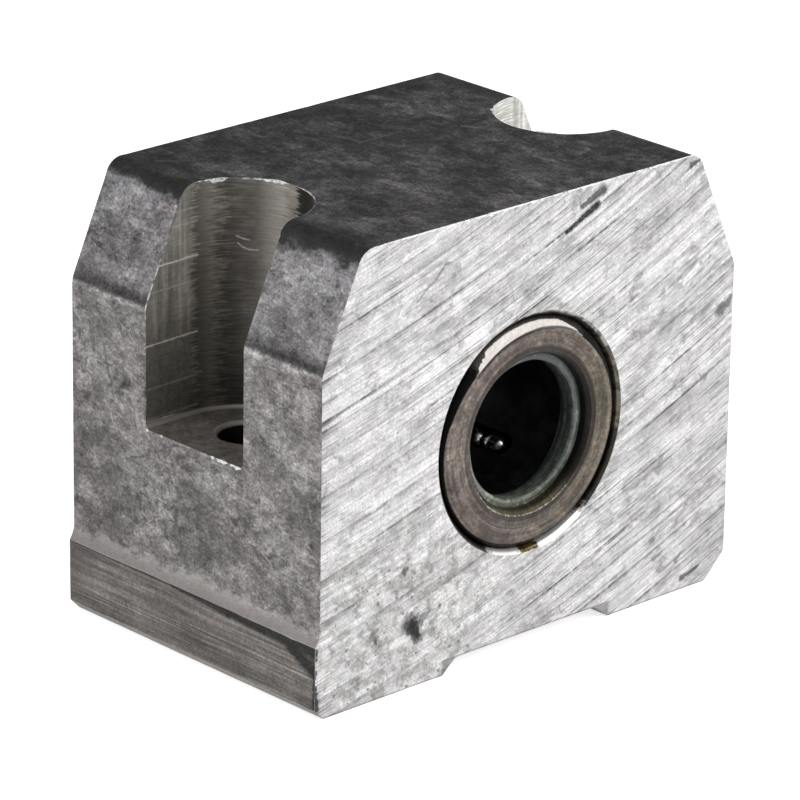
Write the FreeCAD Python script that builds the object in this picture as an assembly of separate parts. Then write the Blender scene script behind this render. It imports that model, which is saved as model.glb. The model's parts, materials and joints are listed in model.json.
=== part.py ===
"""Linear bearing block: an aluminium housing with two bolt slots around a sealed linear ball bush.

Millimetres. The origin is the middle of the base, +Z is up and the shaft runs along Y.
The machined reference side faces -X.
"""
import FreeCAD, Part
import math
import os

V = FreeCAD.Vector

# Housing: an extruded block, sawn to length
block_width = 40.0
block_height = 33.0
block_length = 26.0
shaft_height = 16.0
side_inset = 4.0
side_slope_deg = 24.0
top_corner_radius = 1.5
side_break_radius = 2.0
bore_mouth_chamfer = 0.33

# Reference side: a machined band along the foot, in front of the wall above it
reference_recess = 0.4
reference_band_top = 5.45
reference_flare_height = 0.5
reference_flare_radius = 2.2
reference_chamfer = 0.8

# Plain side and base
plain_chamfer = 1.9
plain_chamfer_radius = 1.0
groove_width = 16.2
groove_taper = 1.25
groove_depth = 1.05
groove_radius = 0.6

# Bolt slots, milled down from the top beside the bush, and their holes
bolt_spacing = 29.0
bolt_hole_diameter = 4.3
bolt_hole_chamfer = 0.4
slot_width = 10.2
slot_floor_height = 16.0
slot_floor_chamfer = 0.3
slot_wall = 1.9

# Bush: a drawn steel cup with rolled-in lips and a raised land for each loaded row of balls
shaft_diameter = 10.0
bush_diameter = 17.0
cup_wall = 1.0
cup_corner_radius = 0.83
cup_corner_steps = 3
lip_thickness = 0.75
lip_edge_chamfer = 0.35
lip_shaft_gap = 0.6
land_rise = 0.5
land_width = 2.8
land_ramp = 1.2

# Seals behind the lips
seal_thickness = 1.6
seal_lead_in = 0.2
seal_back_relief = 0.4
seal_cup_gap = 0.05

# Ball cage and its closed tracks
circuit_count = 4
first_row_deg = 45.0
cage_shaft_gap = 0.2
cage_land_gap = 0.1
track_gap = 0.04
track_end_wall = 0.9
ball_lift_gap = 0.05
least_ball_gap = 0.1
ball_sides = 8
ball_levels_deg = (-55, 0, 55)

# Worked out from the sizes above
half_width = block_width / 2
half_length = block_length / 2
shaft_radius = shaft_diameter / 2
bush_radius = bush_diameter / 2
cup_radius = bush_radius - cup_wall
land_radius = cup_radius - land_rise
lip_radius = shaft_radius + lip_shaft_gap
ball_diameter = land_radius - shaft_radius
ball_radius = ball_diameter / 2
loaded_radius = shaft_radius + ball_radius
return_radius = cup_radius - ball_lift_gap - ball_radius
seal_front = half_length - lip_thickness
cage_half_length = seal_front - seal_thickness
cage_inner_radius = shaft_radius + cage_shaft_gap
cage_outer_radius = land_radius - cage_land_gap

# Rows lie evenly round the bush, a loaded one beside the one that brings its balls back
row_step_deg = 180.0 / circuit_count
turn_radius = loaded_radius * math.sin(math.radians(row_step_deg / 2))
track_half_width = ball_radius + track_gap
track_floor_radius = return_radius - track_half_width
floor_drop = max(loaded_radius - track_floor_radius, 0)
ball_slot_half_width = math.sqrt(ball_radius**2 - floor_drop**2) + track_gap
row_half_length = cage_half_length - track_end_wall - turn_radius - track_half_width
row_balls = int(2 * row_half_length / (ball_diameter + least_ball_gap))
turn_step = 2 * math.asin((ball_diameter + least_ball_gap) / (2 * turn_radius))
turn_balls = int(math.pi / turn_step)

SHAFT_AXIS = V(0, -1, 0)  # angles about it run from +X towards +Z
ORIGIN = V(0, 0, 0)


def rounded_face(corners, place):
    """A face inside (a, b, radius) corners, each rounded as far as its two sides leave room."""
    points = [place(a, b) for a, b, _ in corners]
    count = len(points)
    ends = []
    edges = []
    for i, (_, _, radius) in enumerate(corners):
        before, corner, after = points[i - 1], points[i], points[(i + 1) % count]
        back, ahead = before - corner, after - corner
        half_angle = back.getAngle(ahead) / 2
        if radius == 0:
            ends.append((corner, corner))
            continue
        shares = [2 if corners[j % count][2] else 1 for j in (i - 1, i + 1)]
        room = min(back.Length / shares[0], ahead.Length / shares[1])
        reach = min(radius / math.tan(half_angle), room)
        back.normalize()
        ahead.normalize()
        inward = back + ahead
        inward.normalize()
        start, end = corner + back * reach, corner + ahead * reach
        rise = reach / math.cos(half_angle) - reach * math.tan(half_angle)
        edges.append(Part.Arc(start, corner + inward * rise, end).toShape())
        ends.append((start, end))
    for i in range(count):
        start, end = ends[i][1], ends[(i + 1) % count][0]
        if (end - start).Length > 1e-6:
            edges.append(Part.LineSegment(start, end).toShape())
    return Part.Face(Part.Wire(Part.__sortEdges__(edges)))


def turned(corners, angle_deg=360):
    """A solid turned about the shaft axis from (radius, y, rounding) corners, starting at +X."""
    face = rounded_face(corners, lambda radius, y: V(radius, y, 0))
    return face.revolve(ORIGIN, SHAFT_AXIS, angle_deg)


def about_shaft(shape, angle_deg):
    """The shape turned about the shaft axis."""
    turned_shape = shape.copy()
    turned_shape.rotate(ORIGIN, SHAFT_AXIS, angle_deg)
    return turned_shape


def in_place(shape):
    """The shape lifted from the origin to the shaft's height."""
    lifted = shape.copy()
    lifted.translate(V(0, 0, shaft_height))
    return lifted


def block_outline():
    """The extrusion's cross-section as (x, z, radius) corners, from the reference side's foot upwards."""
    top_half = half_width - side_inset
    slope = math.tan(math.radians(side_slope_deg))
    wall_x = half_width - reference_recess
    wall_break = block_height - (wall_x - top_half) / slope
    plain_break = block_height - side_inset / slope
    groove_half = groove_width / 2
    groove_top_half = groove_half - groove_taper
    return [
        (reference_chamfer - half_width, 0, 0),
        (-half_width, reference_chamfer, 0),
        (-half_width, reference_band_top, 0),
        (-wall_x, reference_band_top + reference_flare_height, reference_flare_radius),
        (-wall_x, wall_break, side_break_radius),
        (-top_half, block_height, top_corner_radius),
        (top_half, block_height, top_corner_radius),
        (half_width, plain_break, side_break_radius),
        (half_width, plain_chamfer, plain_chamfer_radius),
        (half_width - plain_chamfer, 0, plain_chamfer_radius),
        (groove_half, 0, groove_radius),
        (groove_top_half, groove_depth, groove_radius),
        (-groove_top_half, groove_depth, groove_radius),
        (-groove_half, 0, groove_radius),
    ]


def bolt_slot(side):
    """The round-ended cutter path of one bolt slot, open to the side and the top."""
    inner_x = side * (bush_radius + slot_wall)
    outer_x = side * block_width
    half = slot_width / 2
    corners = [(outer_x, -half, 0), (inner_x, -half, half), (inner_x, half, half), (outer_x, half, 0)]
    face = rounded_face(corners, lambda x, y: V(x, y, slot_floor_height))
    cut = face.extrude(V(0, 0, block_height))
    floor_edges = [e for e in cut.Edges if all(abs(v.Z - slot_floor_height) < 1e-6 for v in e.Vertexes)]
    return cut.makeChamfer(slot_floor_chamfer, floor_edges)


def bolt_hole(side):
    """A bolt hole through the foot, chamfered at the slot's floor."""
    x = side * bolt_spacing / 2
    radius = bolt_hole_diameter / 2
    hole = Part.makeCylinder(radius, block_height, V(x, 0, slot_floor_height - block_height))
    mouth_base = V(x, 0, slot_floor_height - bolt_hole_chamfer)
    mouth = Part.makeCone(radius, radius + 2 * bolt_hole_chamfer, 2 * bolt_hole_chamfer, mouth_base)
    return hole.fuse(mouth)


def housing():
    """The block with its bush seat, slots and bolt holes."""
    section = rounded_face(block_outline(), lambda x, z: V(x, -half_length, z))
    block = section.extrude(V(0, block_length, 0))
    mouth_radius = bush_radius + bore_mouth_chamfer
    seat = turned([
        (0, -half_length, 0),
        (mouth_radius, -half_length, 0),
        (bush_radius, bore_mouth_chamfer - half_length, 0),
        (bush_radius, half_length - bore_mouth_chamfer, 0),
        (mouth_radius, half_length, 0),
        (0, half_length, 0),
    ])
    block = block.cut(in_place(seat))
    for side in (-1, 1):
        block = block.cut(bolt_slot(side))
        block = block.cut(bolt_hole(side))
    return block


def cup_end(end):
    """One end of the cup's section, from its outer wall round the corner to the back of the lip."""
    corner_radius = bush_radius - cup_corner_radius
    corner_y = half_length - cup_corner_radius
    turns = [math.pi / 2 * i / cup_corner_steps for i in range(cup_corner_steps + 1)]
    section = [
        (corner_radius + cup_corner_radius * math.cos(turn), corner_y + cup_corner_radius * math.sin(turn))
        for turn in turns
    ]
    section += [
        (lip_radius + lip_edge_chamfer, half_length),
        (lip_radius, half_length - lip_edge_chamfer),
        (lip_radius, seal_front),
        (cup_radius, seal_front),
    ]
    return [(radius, end * y, 0) for radius, y in section]


def bearing_sleeve():
    """The drawn cup, with a lip rolled in at each end and ramped lands for the loaded rows."""
    cup = turned(cup_end(1) + cup_end(-1)[::-1])
    land_angle = math.degrees(2 * math.asin(land_width / 2 / land_radius))
    land_half = row_half_length - land_ramp / 2
    root_radius = cup_radius + cup_wall / 2
    land = turned([
        (root_radius, -land_half - land_ramp, 0),
        (cup_radius, -land_half - land_ramp, 0),
        (land_radius, -land_half, 0),
        (land_radius, land_half, 0),
        (cup_radius, land_half + land_ramp, 0),
        (root_radius, land_half + land_ramp, 0),
    ], land_angle)
    lands = [about_shaft(land, row_deg - land_angle / 2) for row_deg in loaded_rows()]
    return in_place(cup.fuse(lands).removeSplitter())


def loaded_rows():
    """The angle of each loaded row about the shaft, in degrees."""
    return [first_row_deg + 360.0 * i / circuit_count for i in range(circuit_count)]


def racetrack(half_width):
    """A round-ended bar along Y, from the shaft axis out through the cage wall at +X."""
    end = row_half_length + half_width
    corners = [
        (-end, -half_width, half_width),
        (end, -half_width, half_width),
        (end, half_width, half_width),
        (-end, half_width, half_width),
    ]
    face = rounded_face(corners, lambda y, z: V(0, y, z))
    return face.extrude(V(bush_radius, 0, 0))


def ball_cage():
    """The moulded cage: a closed track for each circuit, with its loaded row open to the shaft."""
    length = 2 * cage_half_length
    front = V(0, -cage_half_length, 0)
    along = V(0, 1, 0)
    bore = Part.makeCylinder(cage_inner_radius, length, front, along)
    cage = Part.makeCylinder(cage_outer_radius, length, front, along).cut(bore)
    track_floor = Part.makeCylinder(track_floor_radius, length, front, along)
    track = racetrack(turn_radius + track_half_width).cut(racetrack(turn_radius - track_half_width))
    track = track.cut(track_floor)
    ball_slot = racetrack(ball_slot_half_width)
    for row_deg in loaded_rows():
        cage = cage.cut(about_shaft(track, row_deg + row_step_deg / 2))
        cage = cage.cut(about_shaft(ball_slot, row_deg))
    return in_place(cage)


def end_seal(end):
    """A wiping ring between the lip and the cage; end is -1 at the front and 1 at the rear."""
    outer = cup_radius - seal_cup_gap
    seal = turned([
        (outer, end * seal_front, 0),
        (outer, end * cage_half_length, 0),
        (shaft_radius + seal_back_relief, end * cage_half_length, 0),
        (shaft_radius, end * (cage_half_length + seal_back_relief), 0),
        (shaft_radius, end * (seal_front - seal_lead_in), 0),
        (shaft_radius + seal_lead_in, end * seal_front, 0),
    ])
    return in_place(seal)


def plain_ball():
    """A ball with few flat faces, its corners on the true sphere."""
    levels = [math.radians(deg) for deg in ball_levels_deg]
    turns = [2 * math.pi * (i + 0.5) / ball_sides for i in range(ball_sides)]
    rings = []
    for level in levels:
        out, up = ball_radius * math.cos(level), ball_radius * math.sin(level)
        rings.append([V(out * math.cos(turn), out * math.sin(turn), up) for turn in turns])
    faces = [Part.Face(Part.makePolygon(ring + ring[:1])) for ring in (rings[0], rings[-1])]
    for low, high in zip(rings, rings[1:]):
        for i in range(ball_sides):
            quad = [low[i - 1], low[i], high[i], high[i - 1], low[i - 1]]
            faces.append(Part.Face(Part.makePolygon(quad)))
    return Part.Solid(Part.Shell(faces))


def circuit_centres():
    """Ball centres of one circuit about +X: loaded row, return row and the two turns."""
    row_step = 2 * row_half_length / row_balls
    rows = [(i + 0.5) * row_step - row_half_length for i in range(row_balls)]
    turns = [math.pi * (i + 0.5) / turn_balls for i in range(turn_balls)]
    flat = [(loaded_radius, y, -turn_radius) for y in rows]
    flat += [(return_radius, y, turn_radius) for y in rows]
    for end in (-1, 1):
        for turn in turns:
            y = end * (row_half_length + turn_radius * math.sin(turn))
            flat.append((return_radius, y, -turn_radius * math.cos(turn)))
    return [V(math.sqrt(radius**2 - z**2), y, z) for radius, y, z in flat]


def ball_circuit(row_deg):
    """All the balls of one closed track."""
    balls = []
    for centre in circuit_centres():
        ball = plain_ball()
        ball.translate(centre)
        balls.append(in_place(about_shaft(ball, row_deg + row_step_deg / 2)))
    return Part.makeCompound(balls)


def main():
    pieces = {
        "housing": housing(),
        "bearing_sleeve": bearing_sleeve(),
        "ball_cage": ball_cage(),
        "front_seal": end_seal(-1),
        "rear_seal": end_seal(1),
    }
    for number, row_deg in enumerate(loaded_rows(), start=1):
        pieces[f"ball_circuit_{number}"] = ball_circuit(row_deg)
    os.makedirs("parts", exist_ok=True)
    for name, shape in pieces.items():
        shape.exportStep(f"parts/{name}.step")


main()
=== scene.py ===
"""Looks and studio for the linear bearing block.

Pieces are modelled in millimetres in the part's own frame and scaled to metres when they are placed.
"""
import json
import math

import bmesh
import bpy
from mathutils import Matrix, Vector, noise


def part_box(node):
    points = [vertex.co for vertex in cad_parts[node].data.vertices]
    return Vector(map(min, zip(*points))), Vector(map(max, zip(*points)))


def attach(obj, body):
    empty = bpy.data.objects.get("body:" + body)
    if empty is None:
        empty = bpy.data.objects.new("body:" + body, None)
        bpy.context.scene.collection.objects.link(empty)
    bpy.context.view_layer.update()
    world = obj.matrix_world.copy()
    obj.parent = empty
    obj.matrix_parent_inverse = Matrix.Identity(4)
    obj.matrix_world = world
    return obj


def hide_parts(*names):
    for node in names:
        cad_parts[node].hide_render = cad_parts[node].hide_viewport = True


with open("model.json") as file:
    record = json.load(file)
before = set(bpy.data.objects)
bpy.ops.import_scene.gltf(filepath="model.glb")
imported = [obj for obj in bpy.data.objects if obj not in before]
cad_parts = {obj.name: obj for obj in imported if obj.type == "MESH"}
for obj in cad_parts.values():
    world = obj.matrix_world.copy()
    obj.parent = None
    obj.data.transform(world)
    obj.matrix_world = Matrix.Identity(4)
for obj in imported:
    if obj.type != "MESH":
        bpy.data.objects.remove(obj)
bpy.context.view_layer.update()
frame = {"nodes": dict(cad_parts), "record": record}

MM = 0.001


def box_mm(node):
    """A node's lowest and highest corner in millimetres."""
    return [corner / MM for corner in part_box(node)]


# Sizes in millimetres, from the frame
BLOCK_HIGH = box_mm("housing")[1]
CUP_LOW, CUP_HIGH = box_mm("bearing_sleeve")
SEAL_LOW, SEAL_HIGH = box_mm("rear_seal")
HALF_LENGTH = BLOCK_HIGH.y
HALF_WIDTH = BLOCK_HIGH.x
HEIGHT = BLOCK_HIGH.z
SHAFT_Z = (CUP_LOW.z + CUP_HIGH.z) / 2
CUP_RADIUS = CUP_HIGH.x
SEAL_RADIUS = SEAL_HIGH.x
LIP_BACK = SEAL_HIGH.y
SEAL_BACK = SEAL_LOW.y
MOUNTS = {mount["name"]: mount["dims"] for mount in frame["record"]["mounts"]}
SHAFT_RADIUS = MOUNTS["shaft_bore"]["r_mm"]
BOLT_X = MOUNTS["base_bolts"]["spacing_x_mm"] / 2
HOLE_RADIUS = MOUNTS["base_bolts"]["hole_r_mm"]

# Sizes of the block that its finishes follow
SLOT_HALF = 5.1
SLOT_END_X = 10.4
SLOT_ARC_X = 15.5
SLOT_FLOOR = 16.0
BAND_TOP = 5.45
WALL_BREAK = 24.91
WALL_X = 19.6
BORE_MOUTH = 0.33
GROOVE_HALF = 8.0
GROOVE_TOP = 1.1

# Sizes of the cup's lip, its lands and the seal's edge
CUP_CORNER = 0.83
CUP_WALL = 1.0
LIP_RADIUS = 5.6
LIP_EDGE = 0.5
LIP_STEP = 0.5
LAND_RISE = 0.5
LAND_HALF_DEG = 11.5
LAND_END = 7.0
LAND_SLOPE = 1.2
LAND_ROWS_DEG = (45, 135, 225, 315)
SEAL_EDGE = 0.22
SEAL_BACK_EDGE = 0.3
SEAL_GAP = 0.02
SEAL_WAVE = 0.04

# Saw marks on the ends are arcs about this point, in x and z; grime gathers about the other one
SAW_CENTRE = (-61.5, 196.7)
GRIME_CENTRE = (-12.5, 4.0)

# Radii of lines on the cup's lip: where arc length is counted, a turned ring and the two ends of a seam
LIP_MIDDLE = 6.5
TURNED_RING = 7.0
SEAM_RADII = (7.7, 7.46)

# The photograph's camera, found from the block's own corners
CAMERA_AZIMUTH = -43.28
CAMERA_ELEVATION = 20.634
CAMERA_ROLL = 0.861
CAMERA_PLACE = (-236.97, -251.36, 144.83)
CAMERA_LENS = 233.8
SENSOR_WIDTH = 36.0


def tone(red, green=None, blue=None):
    """A screen colour from 0 to 255 as linear values; one number is a grey."""
    levels = (red, red if green is None else green, red if blue is None else blue)
    linear = [((v / 255 + 0.055) / 1.055) ** 2.4 for v in levels]
    return (*linear, 1.0)


# Shader nodes

class Drawing:
    """The node tree that is open: every helper below adds its nodes there."""
    tree = None


def link(source, target):
    Drawing.tree.links.new(source, target)


def feed(sockets, inputs):
    """Gives each named socket its value, or the socket that feeds it."""
    for key, value in inputs.items():
        if isinstance(value, bpy.types.NodeSocket):
            link(value, sockets[key])
        else:
            sockets[key].default_value = value


def add_node(kind, inputs=None, **settings):
    """One shader node; each input is a value or the socket that feeds it."""
    made = Drawing.tree.nodes.new("ShaderNode" + kind)
    for name, value in settings.items():
        setattr(made, name, value)
    feed(made.inputs, inputs or {})
    return made


def maths(operation, *values, clamp=False):
    made = add_node("Math", dict(enumerate(values)), operation=operation, use_clamp=clamp)
    return made.outputs[0]


def vector_maths(operation, *values):
    made = add_node("VectorMath", dict(enumerate(values)), operation=operation)
    return made.outputs["Value" if operation in ("LENGTH", "DISTANCE", "DOT_PRODUCT") else "Vector"]


def scaled(vector, scale):
    made = add_node("VectorMath", {0: vector, "Scale": scale}, operation="SCALE")
    return made.outputs["Vector"]


def step(value, low, high, to_low=0.0, to_high=1.0):
    """A smooth step of value from low to high."""
    made = add_node("MapRange", {0: value, 1: low, 2: high, 3: to_low, 4: to_high},
                    interpolation_type="SMOOTHSTEP")
    return made.outputs[0]


# Keeps flat faces off the whole-number planes of the noise, where it repeats
OFF_GRID = (0.414, 0.732, 0.236)


def cloud(vector, detail=4.0, roughness=0.6, distortion=0.0):
    """Cloudy noise that varies about 0.5."""
    place = vector_maths("ADD", vector, OFF_GRID)
    inputs = {"Vector": place, "Scale": 1.0, "Detail": detail, "Roughness": roughness}
    return add_node("TexNoise", {**inputs, "Distortion": distortion}).outputs["Fac"]


def blend(share, under, over, mode="MIX"):
    """Colour over laid on colour under by a share from 0 to 1."""
    made = add_node("Mix", {0: share, 6: under, 7: over}, data_type="RGBA", blend_type=mode)
    return made.outputs[2]


def between(share, low, high):
    """A value that goes from low to high with a share from 0 to 1."""
    return add_node("Mix", {0: share, 2: low, 3: high}, data_type="FLOAT").outputs[0]


def both(*masks):
    """The masks multiplied."""
    total = masks[0]
    for mask in masks[1:]:
        total = maths("MULTIPLY", total, mask)
    return total


def away(value, target):
    """How far a value is from a target."""
    return maths("ABSOLUTE", maths("SUBTRACT", value, target))


def near(value, target, reach, full):
    """1 where a value lies within full of a target, fading to 0 at reach from it."""
    return step(away(value, target), reach, full)


def ramp(value, *stops):
    """A colour ramp of (place, colour) stops."""
    made = add_node("ValToRGB", {0: value})
    elements = made.color_ramp.elements
    while len(elements) < len(stops):
        elements.new(0.5)
    for element, (place, colour) in zip(elements, stops):
        element.position = place
        element.color = colour
    return made.outputs[0]


def graded(value, *stops):
    """A ramp of (place, level) stops."""
    return ramp(value, *[(place, (level, level, level, 1.0)) for place, level in stops])


def toned(value, *stops):
    """A ramp of (place, red, green, blue) or (place, grey) stops in screen levels."""
    return ramp(value, *[(place, tone(*levels)) for place, *levels in stops])


def split(vector):
    return add_node("SeparateXYZ", {0: vector}).outputs


def joined(x, y, z):
    return add_node("CombineXYZ", {0: x, 1: y, 2: z}).outputs[0]


def point_mm():
    """The surface point in the part's frame, in millimetres."""
    return scaled(add_node("TexCoord").outputs["Object"], 1 / MM)


# Effects that several finishes share

VECTORS = ("Point", "Start", "End")


def effect(name, inputs, outputs):
    """Opens a new node group; two strings name its sockets, of which the points are vectors."""
    Drawing.tree = bpy.data.node_groups.new(name, "ShaderNodeTree")
    for names, way in ((inputs, "INPUT"), (outputs, "OUTPUT")):
        for socket in names.split():
            kind = "NodeSocketVector" if socket in VECTORS else "NodeSocketFloat"
            Drawing.tree.interface.new_socket(socket, in_out=way, socket_type=kind)
    given = Drawing.tree.nodes.new("NodeGroupInput").outputs
    made = Drawing.tree.nodes.new("NodeGroupOutput").inputs
    return given, made


def sized(given):
    """A group's point, counted in its Size."""
    return scaled(given["Point"], maths("DIVIDE", 1.0, given["Size"]))


def stain_effect():
    """Cloudy stains of a given size in millimetres; Low and High set how much they cover."""
    given, made = effect("stain", "Point Size Low High", "Mask")
    shade = cloud(sized(given), detail=7.0, roughness=0.66, distortion=0.35)
    link(step(shade, given["Low"], given["High"]), made["Mask"])
    return Drawing.tree


def grain_effect():
    """Irregular grain of a given size in millimetres, varying about 0.5."""
    given, made = effect("grain", "Point Size", "Shade")
    link(cloud(sized(given), detail=3.0, roughness=0.7), made["Shade"])
    return Drawing.tree


def line_effect():
    """Tool lines: Point holds the distance across the lines, along them, and a layer.

    Shade varies about 0.5 from line to line. Score is a set of separate lines, each sharp
    on its near side and fading over the Fade share of the spacing on its far side.
    """
    given, made = effect("tool lines", "Point Spacing Length Fade", "Shade Score")
    across, along, layer = split(given["Point"])
    across = maths("DIVIDE", across, given["Spacing"])
    along = maths("DIVIDE", along, given["Length"])
    link(cloud(joined(across, along, layer), detail=2.0, roughness=0.55), made["Shade"])
    wander = cloud(joined(along, layer, 0.0), detail=1.0)
    place = maths("MULTIPLY_ADD", wander, 0.5, across)
    cell = add_node("TexVoronoi", {"W": place, "Scale": 1.0}, voronoi_dimensions="1D").outputs["W"]
    gone = maths("SUBTRACT", place, cell)
    line = both(step(gone, given["Fade"], 0.0), step(gone, -0.08, 0.0))
    worn = cloud(joined(maths("MULTIPLY", cell, 3.7), maths("MULTIPLY", along, 1.5), layer), detail=2.0)
    link(both(line, step(worn, 0.36, 0.68)), made["Score"])
    return Drawing.tree


def pit_effect():
    """Small round pits; Share is the part of the cells that hold one, Reach its size in the cell."""
    given, made = effect("pits", "Point Size Share Reach", "Mask")
    place = sized(given)
    wobble = add_node("TexNoise", {"Vector": place, "Scale": 2.5, "Detail": 3.0}).outputs["Color"]
    place = vector_maths("ADD", place, scaled(wobble, 0.35))
    cells = add_node("TexVoronoi", {"Vector": place, "Scale": 1.0}).outputs
    held = maths("LESS_THAN", split(cells["Color"])[0], given["Share"])
    inside = step(cells["Distance"], given["Reach"], maths("MULTIPLY", given["Reach"], 0.45))
    link(both(held, inside), made["Mask"])
    return Drawing.tree


def vein_effect():
    """Thin wandering cracks; Size is their mesh in millimetres and Width how wide they are drawn."""
    given, made = effect("veins", "Point Size Width", "Mask")
    shade = cloud(sized(given), detail=2.5, roughness=0.5, distortion=0.6)
    link(near(shade, 0.5, given["Width"], 0.0), made["Mask"])
    return Drawing.tree


def smudge_effect():
    """Clusters of ragged specks: Size is a cluster's width in millimetres, Low how few there are."""
    given, made = effect("smudges", "Point Size Low", "Mask")
    cluster = cloud(sized(given), detail=3.0, roughness=0.55, distortion=0.3)
    cluster = step(cluster, given["Low"], maths("ADD", given["Low"], 0.07))
    speck = cloud(scaled(given["Point"], 3.6), detail=3.0, roughness=0.6)
    link(both(cluster, step(speck, 0.42, 0.54, 0.2, 1.0)), made["Mask"])
    return Drawing.tree


def mark_effect():
    """One mark from Start to End with a ragged edge, half as wide at its end."""
    given, made = effect("mark", "Point Start End Width Ragged", "Mask")
    reach = vector_maths("SUBTRACT", given["Point"], given["Start"])
    run = vector_maths("SUBTRACT", given["End"], given["Start"])
    length = maths("MAXIMUM", vector_maths("DOT_PRODUCT", run, run), 1e-4)
    share = maths("DIVIDE", vector_maths("DOT_PRODUCT", reach, run), length, clamp=True)
    fray = cloud(scaled(given["Point"], 2.2), detail=5.0, roughness=0.7)
    fray = maths("MULTIPLY", maths("SUBTRACT", fray, 0.5), given["Ragged"])
    gap = maths("ADD", vector_maths("DISTANCE", reach, scaled(run, share)), fray)
    width = maths("MULTIPLY", given["Width"], maths("MULTIPLY_ADD", share, -0.5, 1.0))
    torn = cloud(scaled(given["Point"], 4.5), detail=3.0, roughness=0.65)
    torn = step(torn, 0.34, 0.52, 0.82, 1.0)
    link(both(step(gap, width, maths("MULTIPLY", width, 0.3)), torn), made["Mask"])
    return Drawing.tree


def use(group, **inputs):
    """Places an effect in the open tree and returns its outputs."""
    return add_node("Group", inputs, node_tree=group).outputs


STAIN = stain_effect()
GRAIN = grain_effect()
LINES = line_effect()
PITS = pit_effect()
VEINS = vein_effect()
SMUDGES = smudge_effect()
MARK = mark_effect()


def stained(point, size, low, high):
    """A mask of cloudy stains."""
    return use(STAIN, Point=point, Size=size, Low=low, High=high)["Mask"]


def grained(point, size):
    """A shade of irregular grain."""
    return use(GRAIN, Point=point, Size=size)["Shade"]


def lined(point, spacing, length, fade):
    """The Shade and the Score of tool lines."""
    return use(LINES, Point=point, Spacing=spacing, Length=length, Fade=fade)


def pitted(point, size, share, reach):
    """A mask of small round pits."""
    return use(PITS, Point=point, Size=size, Share=share, Reach=reach)["Mask"]


def veined(point, size, width):
    """A mask of thin wandering cracks."""
    return use(VEINS, Point=point, Size=size, Width=width)["Mask"]


def smudged(point, size, low):
    """A mask of clustered specks."""
    return use(SMUDGES, Point=point, Size=size, Low=low)["Mask"]


def scored(point, start, end, width, ragged):
    """A mask of one mark from start to end."""
    return use(MARK, Point=point, Start=start, End=end, Width=width, Ragged=ragged)["Mask"]


def moved(point, *offset):
    """The point shifted, so that a second layer of an effect falls elsewhere."""
    return vector_maths("ADD", point, offset)


def summed(*parts):
    """A shade about 0.5 from (value, weight) parts that each vary about 0.5."""
    total = 0.5
    for value, weight in parts:
        total = maths("MULTIPLY_ADD", maths("SUBTRACT", value, 0.5), weight, total)
    return total


def shaded(colour, shade, depth):
    """Colour made lighter or darker by a shade about 0.5; depth is in stops."""
    stops = maths("MULTIPLY", maths("SUBTRACT", shade, 0.5), depth)
    return blend(1.0, colour, maths("POWER", 2.0, stops), "MULTIPLY")


def tinted(colour, shade, cool, warm):
    """Colour with a faint cast that goes from cool to warm with a shade about 0.5."""
    return blend(1.0, colour, ramp(shade, (0.36, cool), (0.64, warm)), "MULTIPLY")


def laid(colour, mask, strength, over):
    """Colour with another laid on it where the mask is 1."""
    return blend(maths("MULTIPLY", mask, strength), colour, over)


def layered(colour, *layers):
    """Colour with layers laid on it in turn: each (mask, strength, red, green, blue) or (..., grey)."""
    for mask, strength, *levels in layers:
        colour = laid(colour, mask, strength, tone(*levels))
    return colour


def dimmed(colour, mask, share):
    """Colour darker by a share where the mask is 1; a share below 0 makes it lighter."""
    return blend(1.0, colour, maths("MULTIPLY_ADD", mask, -share, 1.0), "MULTIPLY")


def marked(point, colour, marks):
    """Colour with marks laid on it: each (start, end, width, ragged, strength, colour of the mark)."""
    for start, end, width, ragged, strength, over in marks:
        mask = scored(point, start, end, width, ragged)
        colour = laid(colour, mask, strength, over)
    return colour


def new_material(name):
    """Opens the node tree of a new material."""
    material = bpy.data.materials.new(name)
    material.use_nodes = True
    Drawing.tree = material.node_tree
    return material


def finish(draw):
    """The material of a function that draws its shader's inputs at a point, with the function's name."""
    material = new_material(draw.__name__)
    feed(material.node_tree.nodes["Principled BSDF"].inputs, draw(point_mm()))
    return material


def relief(height, depth_mm, strength):
    """The normal over a bump of that depth."""
    inputs = {"Height": height, "Distance": depth_mm * MM, "Strength": strength}
    return add_node("Bump", inputs).outputs["Normal"]


def gloss(shade, dull, bright):
    """Roughness that goes from dull to bright with a shade about 0.5."""
    return step(shade, 0.3, 0.7, dull, bright)


# Ragged shift of a boundary between two angles about the shaft, as a share of a turn
TURN_FRAY = 0.05


def around_shaft(point):
    """The point's distance from the shaft axis, its angle about it from +X towards +Z, and its y."""
    x, y, z = split(point)
    up = maths("SUBTRACT", z, SHAFT_Z)
    reach = vector_maths("LENGTH", joined(x, 0.0, up))
    return reach, maths("ARCTAN2", up, x), y


def turned_share(point):
    """The point's angle about the shaft as a share of one turn, from +X towards +Z, a little ragged."""
    angle = around_shaft(point)[1]
    fray = maths("SUBTRACT", grained(point, size=1.1), 0.5)
    share = maths("MULTIPLY_ADD", fray, TURN_FRAY, maths("DIVIDE", angle, 2 * math.pi))
    return maths("FRACT", maths("ADD", share, 1.0))


# Ends of the faint cast on bare metal
COOL = (0.985, 1.003, 0.998, 1.0)
WARM = (1.016, 0.992, 1.0, 1.0)


# Finishes of the block

def on_front(x, z):
    return (x, -HALF_LENGTH, z)


def on_side(y, z):
    return (-WALL_X, y, z)


def on_band(y, z):
    return (-HALF_WIDTH, y, z)


def on_top(x, y):
    return (x, y, HEIGHT)


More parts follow.
